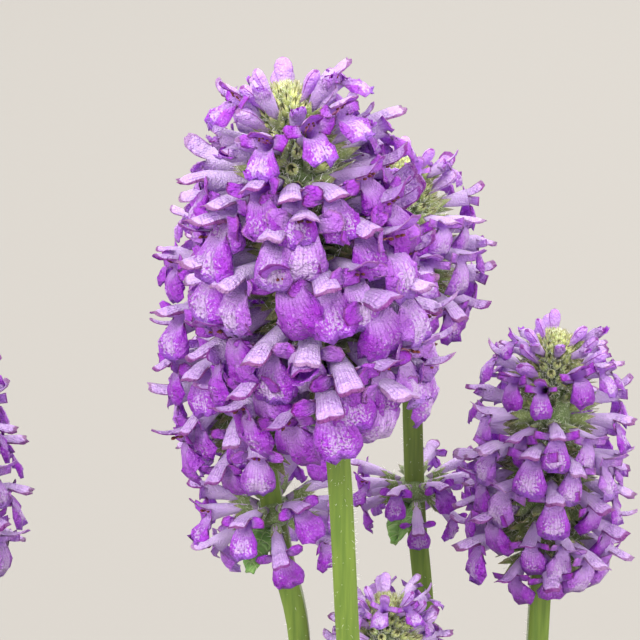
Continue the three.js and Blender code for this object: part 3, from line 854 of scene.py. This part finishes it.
class BETONY_OT_compost(bpy.types.Operator):
    """Fill the pot with moist compost and bark chips"""

    bl_idname = "betony.compost"
    bl_label = "Compost"

    def execute(self, context):
        settings = context.scene.betony.pot
        outline = [(0, COMPOST_FLOOR), (51.3, COMPOST_FLOOR), (COMPOST_RADIUS, COMPOST_EDGE)]
        for k in range(1, COMPOST_RINGS):
            outline.append((COMPOST_RADIUS * (1 - k / COMPOST_RINGS), SOIL_TOP - 2.4 * (1 - ease(0, 4, k))))
        bm = turned([*outline, (0, SOIL_TOP)], 90)
        for vert in bm.verts:
            if vert.co.z > COMPOST_EDGE + 0.2:
                crumbs = noise.noise(vert.co * 0.16) + 0.8 * noise.noise(vert.co * 0.45)
                vert.co.z += 1.1 * crumbs
        for k in range(BARK_CHIPS):
            reach = 72 * math.sqrt(abs(wobble(k, 1)))
            spot = heading(180 * wobble(k, 2)) * reach
            size = 0.9 + 1.5 * abs(wobble(k, 3)) ** 2
            turn = Matrix.Rotation(3 * wobble(k, 4), 4, (wobble(k, 5), wobble(k, 6), 0.4))
            shape = Matrix.Diagonal((size * 1.7, size, size * 0.55, 1))
            place = Matrix.Translation(spot + Vector((0, 0, SOIL_TOP + 0.3)))
            grain(bm, place @ turn @ shape, material=1 if k % 3 else 0)
        # Dark crumbly compost, and paler fibrous bark.
        dark = linear("#46352A")
        compost = plain_material("moist_peat_free_compost", settings.soil_colour, dark, 1.6, 0.95, 0.8)
        bark = plain_material("shredded_bark", settings.chip_colour, linear("#3A281D"), 1.2, 0.9, 0.6)
        piece(bm, "compost", [compost, bark], ["soil"])
        return {"FINISHED"}


def blade(bm, path, side, start, half_width, teeth, columns, wrinkle, seed, material=0):
    """A folded, puckered leaf blade with rounded teeth, from a share of the path to its end."""
    rows = teeth * 4

    def bend(i, j):
        v = j / rows
        x = 1 - 2 * i / columns
        point, along = path.at(mix(start, 1, v))
        normal = along.cross(side).normalized()
        outline = half_width * math.sin(math.pi * max(v, 0.02) ** 0.68) ** 0.62 if v < 1 else 0
        scallop = 1 - 0.14 * (1 - abs(math.sin(math.pi * teeth * v)) ** 0.7) * ease(0.6, 1, abs(x))
        reach = max(outline * scallop, 0.6) * x
        lift = abs(reach) * 0.34 - reach * reach * 0.26 / half_width
        pucker = abs(math.sin(math.pi * teeth * (v - 0.13 * abs(x)))) * min(1, abs(x) * 6)
        pucker *= 1 - ease(0.9, 1, abs(x))
        lift += wrinkle * (pucker - 0.5) + 0.7 * noise.noise(point * 0.09 + Vector((seed, x * 2, 0)))
        lift += 0.05 * half_width * math.sin(9 * v + seed) * x * x
        heart = 0.22 * half_width * abs(x) ** 1.5 * (1 - ease(0, 0.22, v))
        return point + side * reach + normal * lift - along * heart, (x, v, teeth), (0, 0, 0)

    verts = bent_grid(bm, columns, rows, bend, material=material)
    thicken(bm, {face for vert in verts for face in vert.link_faces}, LEAF_THICKNESS)


def arching(root, azimuth, curve):
    """A path out from a point, through distances out and up, and the level direction across it."""
    out = heading(azimuth)
    path = Path([root + out * reach + Vector((0, 0, rise)) for reach, rise in curve])
    return path, heading(azimuth + 90)


def basal_leaf(azimuth, sway, ring, settings, number):
    """One long-stalked scalloped leaf, in a ring of the mound."""
    root, begins, peak, ends, half_width = ring
    out, side = heading(azimuth), heading(azimuth + 90)
    points = [out * root + Vector((0, 0, SOIL_TOP + rise)) for rise in (-ROOTED_DEPTH, 2)]
    for (reach, height), share in ((begins, 0.4), (peak, 0.8), (ends, 1)):
        raised = out * reach + Vector((0, 0, height + sway * 6 * share))
        points.append(raised + side * (sway * 5 * share))
    path = Path(points)
    start = 1 - (math.dist(begins, peak) + math.dist(peak, ends)) / path.length

    def taper(t):
        return mix(1.45, 1.2, t) if t < start else mix(1.2, 0.3, (t - start) / (1 - start))

    bm = empty_mesh()
    blade(bm, path, side, start, half_width, settings.teeth, 16, settings.wrinkle / MM, number)
    bar(bm, path, 0, 0.98, 40, 8, taper, material=1, sink=0.5)
    return bm


class BETONY_OT_basal_leaves(bpy.types.Operator):
    """Make the mound of long-stalked scalloped leaves"""

    bl_idname = "betony.basal_leaves"
    bl_label = "Basal Leaves"

    def execute(self, context):
        materials = foliage_materials(context)
        number = 0
        for azimuths, *ring in LEAF_RINGS:
            for index, azimuth in enumerate(azimuths):
                number += 1
                sway = wobble(len(azimuths), index)
                bm = basal_leaf(azimuth, sway, ring, context.scene.betony.foliage, number)
                piece(bm, f"wrinkled_basal_leaf_{number:02d}", materials, [f"basal_leaf_{number:02d}"])
        return {"FINISHED"}


def stem_path(spike):
    """From below the compost's surface, through the stem's points and the spike's foot, into the spike."""
    (x, y, _), *passes = spike["stem"]
    root, top = (x, y, SOIL_TOP - ROOTED_DEPTH), (x, y, SOIL_TOP + 12)
    end = spike_frame(spike["foot"], spike["tip"]) @ Vector((0, 0, STEM_TIP_HEIGHT))
    return Path([root, top, *passes, spike["foot"], end])


def square(angle):
    """The outline of a rounded square with a shallow groove down each face."""
    flat = 1 / max(abs(math.cos(angle)), abs(math.sin(angle))) ** 0.85
    return flat - 0.06 * math.cos(4 * angle) - 0.02


def dressed_stem(spike):
    """A square stem with its pairs of small leaves and its hairs."""
    path = stem_path(spike)
    bm = empty_mesh()
    for height, length, turn in spike["pairs"]:
        node, _ = path.at(path.share_at(height))
        curve = [(reach * length, rise * length) for reach, rise in STEM_LEAF_CURVE]
        for azimuth in (turn, turn + 180):
            way, side = arching(node, azimuth, curve)
            blade(bm, way, side, 0.12, length * 0.19, 9 if length > 40 else 6, 10, 0.4, height + azimuth)
            bar(bm, way, 0, 0.97, 12, 6, lambda t: mix(1.0, 0.25, t), material=1, sink=0.35)
    bar(bm, path, 0, 1, 90, 16, lambda t: STEM_RADIUS, outline=square, material=1)
    for k in range(spike.get("hairs", STEM_HAIRS)):
        share = mix(path.share_at(SOIL_TOP + 6), 0.985, abs(wobble(k, spike["seed"])) ** 0.7)
        point, along = path.at(share)
        angle = math.pi * wobble(k, 5)
        out = Vector((math.cos(angle), math.sin(angle), 0))
        way = (out + along * (0.5 * wobble(k, 7))).normalized()
        hair(bm, point + out * (1.9 * square(angle)), way, 0.7 + 0.4 * wobble(k, 8), 0.03, material=2)
    return bm


class BETONY_OT_stems(bpy.types.Operator):
    """Make the square hairy stems with their pairs of small leaves"""

    bl_idname = "betony.stems"
    bl_label = "Stems"

    def execute(self, context):
        materials = [*foliage_materials(context), bristle_material(context)]
        for name, spike in SPIKES.items():
            piece(dressed_stem(spike), f"square_stem_{name}", materials, [f"stem_{name}"])
        return {"FINISHED"}


def flower_templates(fine):
    """The shapes that the flowers of a spike take turns to use, wide open and younger."""
    kind, columns, rows = ("fine", FINE_COLUMNS, (3, 7)) if fine else ("plain", PLAIN_COLUMNS, (2, 3))
    if f"{kind}_flower_0" not in bpy.data.meshes:
        for k in range(7):
            corolla(f"{kind}_flower_{k}", columns, *rows, 1 - 0.07 * (k % 4), k + 1, fine)
        for k in range(3):
            corolla(f"{kind}_young_{k}", columns, *rows, 0.02 + 0.1 * k, k + 11, False)
    if "club_bud" not in bpy.data.meshes:
        closed_bud()
        for k in range(3):
            calyx(f"bell_calyx_{k}", k + 1, 14, 1)
            calyx(f"young_calyx_{k}", k + 5, 18, 0.1)
    stages = (("flower", 7), ("young", 3))
    return [[bpy.data.meshes[f"{kind}_{stage}_{k}"] for k in range(count)] for stage, count in stages]


def dress_spike(spike, fine):
    """The corollas of a spike, and its green parts, each as a mesh in the plant's frame."""
    seed, reach = spike["seed"], spike["reach"]
    length = math.dist(spike["foot"], spike["tip"])
    home = spike_frame(spike["foot"], spike["tip"])
    flowers, young = flower_templates(fine)
    bells, closed = ([bpy.data.meshes[f"{kind}_calyx_{k}"] for k in range(3)] for kind in ("bell", "young"))
    petals, greens = empty_mesh(), empty_mesh()
    for i, (height, lift, azimuths) in enumerate(whorls_of(spike, length)):
        t = height / length
        # Near the tip the flowers are smaller, and lower behind than in front.
        late = ease(0.7, 0.88, t)
        for j, azimuth in enumerate(azimuths):
            shake, other = wobble(seed * 10 + i, j), wobble(j + 3, seed + i)
            behind = late * (1 - math.cos(math.radians(azimuth))) / 2
            size = flower_size(reach, t) * (1 + 0.08 * shake) * (1 - 0.28 * late)
            shape = flowers[int(abs(other) * 6.99)]
            if (t > 0.8 and other > 0.1) or other > 0.93:
                shape = young[int(abs(shake) * 2.99)]
            spot = (height + 1.3 * shake, ROOT_FROM_AXIS, azimuth + 4 * other, lift + 9 * shake - 26 * behind)
            stamp(petals, shape, home, (*spot, 18 * other), size, other)
            stamp(greens, bells[(i + j) % 3], home, (*spot, 40 * other), size, 0.25 * t)
            # An older, empty calyx stands between each flower and the next.
            if t < 0.9:
                gap = (height - 3.6 + 2 * other, 2.4, azimuth + 14 + 6 * shake, lift + 10 * other, 60 * shake)
                empty = size * (1 - 0.4 * ease(0.6, 0.9, t))
                stamp(greens, bells[(i + j + 1) % 3], home, gap, empty, 0.1 + 0.2 * abs(shake))
    # Young calyxes crowd the tip and thin out down the sides of the uppermost whorls. A few hold buds.
    for k in range(TIP_CALYXES):
        apart = math.sqrt((k + 0.5) / TIP_CALYXES)
        size = mix(0.3, 0.6, apart) * (reach / 21) ** 0.5
        height = length - 2.5 - 12 * apart**3 * reach / 21 - 2 * size
        at = (GOLDEN_ANGLE * k, 88 - 62 * apart, 30 * wobble(seed, k))
        youth = 0.7 + 0.3 * wobble(k, seed) - 0.4 * apart**3
        budding = k % 7 == 3 and 0.3 < apart < 0.9
        stamp(greens, (bells if budding else closed)[k % 3], home, (height, 3.6 * apart, *at), size, youth)
        if budding:
            spot = (height, 3.6 * apart + 0.6, *at)
            stamp(petals, bpy.data.meshes["club_bud"], home, spot, size * 2.1, wobble(k, seed + 1))
    core = Path([home @ Vector((0, 0, z)) for z in (SPIKE_BODY_START, length / 2, length - 5)])
    bar(greens, core, 0, 1, 24, 14, lambda t: 4.6 * math.sin(math.pi * mix(0.28, 0.9, t)) ** 0.6)
    return petals, greens


def dress_whorl(spike):
    """The corollas of the separate ring of flowers below a spike, and its green parts."""
    below, reach = spike["whorl"]
    path = stem_path(spike)
    middle, along = path.at(path.share_at(spike["foot"][2] - below))
    home = spike_frame(middle, middle + along)
    flowers, _ = flower_templates(True)
    petals, greens = empty_mesh(), empty_mesh()
    size = (reach - 3.6) / FLOWER_LENGTH
    for j in range(LOWER_WHORL_FLOWERS):
        shake = wobble(spike["seed"] * 7, j)
        # Every second flower stands higher, and every fifth calyx is empty.
        level, lift = (1.6, 12) if j % 2 else (-1.0, -20)
        spot = (level, 3, 360 / LOWER_WHORL_FLOWERS * j + 6 * shake, lift + 8 * shake, 14 * shake)
        stamp(greens, bpy.data.meshes[f"bell_calyx_{j % 3}"], home, spot, size * 1.1, 0.1)
        if j % 5 != 4:
            stamp(petals, flowers[j % 7], home, spot, size * 1.3, shake)
    for azimuth in (70, 250):
        way, side = arching(middle, azimuth, BRACT_CURVE)
        blade(greens, way, side, 0.02, 3.2, 5, 8, 0.2, azimuth, material=2)
    ring = Path([middle - along * 2.4, middle, middle + along * 2.4])
    bar(greens, ring, 0, 1, 8, 20, lambda t: 2.1 + 2.6 * math.sin(math.pi * t))
    return petals, greens


class BETONY_OT_spikes(bpy.types.Operator):
    """Make the six flower spikes with their calyxes and bristly tips"""

    bl_idname = "betony.spikes"
    bl_label = "Flower Spikes"

    def execute(self, context):
        in_petals, in_greens = spike_materials(context)
        for name, spike in SPIKES.items():
            petals, greens = dress_spike(spike, name in "ab")
            piece(petals, f"corollas_{name}", in_petals, [f"spike_{name}"])
            piece(greens, f"calyxes_{name}", in_greens)
        return {"FINISHED"}


class BETONY_OT_lower_whorls(bpy.types.Operator):
    """Make the separate rings of flowers lower on two of the stems"""

    bl_idname = "betony.lower_whorls"
    bl_label = "Lower Whorls"

    def execute(self, context):
        in_petals, in_greens = spike_materials(context)
        leaf, _ = foliage_materials(context)
        for name, spike in SPIKES.items():
            if "whorl" in spike:
                petals, greens = dress_whorl(spike)
                piece(petals, f"whorl_corollas_{name}", in_petals, [f"lower_whorl_{name}"])
                piece(greens, f"whorl_calyxes_{name}", [*in_greens, leaf])
        return {"FINISHED"}


class BETONY_OT_stage(bpy.types.Operator):
    """Set the pale floor, the soft lights and the camera"""

    bl_idname = "betony.stage"
    bl_label = "Stage"

    def execute(self, context):
        scene = context.scene
        settings = scene.betony.stage
        bm = bmesh.new()
        bmesh.ops.create_circle(bm, cap_ends=True, segments=64, radius=9)
        floor = bpy.data.objects.new("floor", to_mesh(bm, "floor"))
        colour = settings.floor_colour
        floor.data.materials.append(plain_material("matt_studio_floor", colour, colour, 200, 0.9, 0.0))
        scene.collection.objects.link(floor)
        world = bpy.data.worlds.new("studio")
        world.use_nodes = True
        sky = world.node_tree.nodes["Background"].inputs
        sky["Color"].default_value = linear("#F4F2EE")
        sky["Strength"].default_value = WORLD_STRENGTH
        scene.world = world
        # The petals keep the colours that they are given.
        scene.view_settings.view_transform = "Standard"
        for name, (place, size, share) in LIGHTS.items():
            light = bpy.data.lights.new(name, "AREA")
            light.shape = "DISK"
            light.size = size
            light.energy = settings.light_power * share
            lamp = bpy.data.objects.new(name, light)
            lamp.location = place
            lamp.rotation_euler = (Vector(LIGHTS_AIM) - Vector(place)).to_track_quat("-Z", "Y").to_euler()
            scene.collection.objects.link(lamp)
        camera = bpy.data.objects.new("camera", bpy.data.cameras.new("camera"))
        camera.data.lens = CAMERA_LENS
        camera.data.sensor_width = 36
        camera.data.clip_start = 0.02
        camera.location = CAMERA_PLACE
        camera.rotation_euler = (math.radians(CAMERA_TILT), 0, 0)
        scene.collection.objects.link(camera)
        scene.camera = camera
        return {"FINISHED"}


class BETONY_PT_panel(bpy.types.Panel):
    """The plant's settings and pieces"""

    bl_idname = "BETONY_PT_panel"
    bl_label = "Potted Betony"
    bl_space_type = "VIEW_3D"
    bl_region_type = "UI"
    bl_category = "Betony"

    def draw(self, context):
        for group in ("flowers", "foliage", "pot", "stage"):
            settings = getattr(context.scene.betony, group)
            box = self.layout.box()
            for name in settings.__annotations__:
                box.prop(settings, name)
        for operator in OPERATORS:
            self.layout.operator(operator.bl_idname)


SETTINGS = (BetonyFlowerSettings, BetonyFoliageSettings, BetonyPotSettings, BetonyStageSettings, BetonySettings)
OPERATORS = (
    BETONY_OT_pot,
    BETONY_OT_compost,
    BETONY_OT_basal_leaves,
    BETONY_OT_stems,
    BETONY_OT_spikes,
    BETONY_OT_lower_whorls,
    BETONY_OT_stage,
)


def register():
    for cls in (*SETTINGS, *OPERATORS, BETONY_PT_panel):
        bpy.utils.register_class(cls)
    bpy.types.Scene.betony = bpy.props.PointerProperty(type=BetonySettings)


def unregister():
    del bpy.types.Scene.betony
    for cls in reversed((*SETTINGS, *OPERATORS, BETONY_PT_panel)):
        bpy.utils.unregister_class(cls)


def main():
    register()
    bpy.ops.betony.pot()
    bpy.ops.betony.compost()
    bpy.ops.betony.basal_leaves()
    bpy.ops.betony.stems()
    bpy.ops.betony.spikes()
    bpy.ops.betony.lower_whorls()
    bpy.ops.betony.stage()


if __name__ == "__main__":
    main()
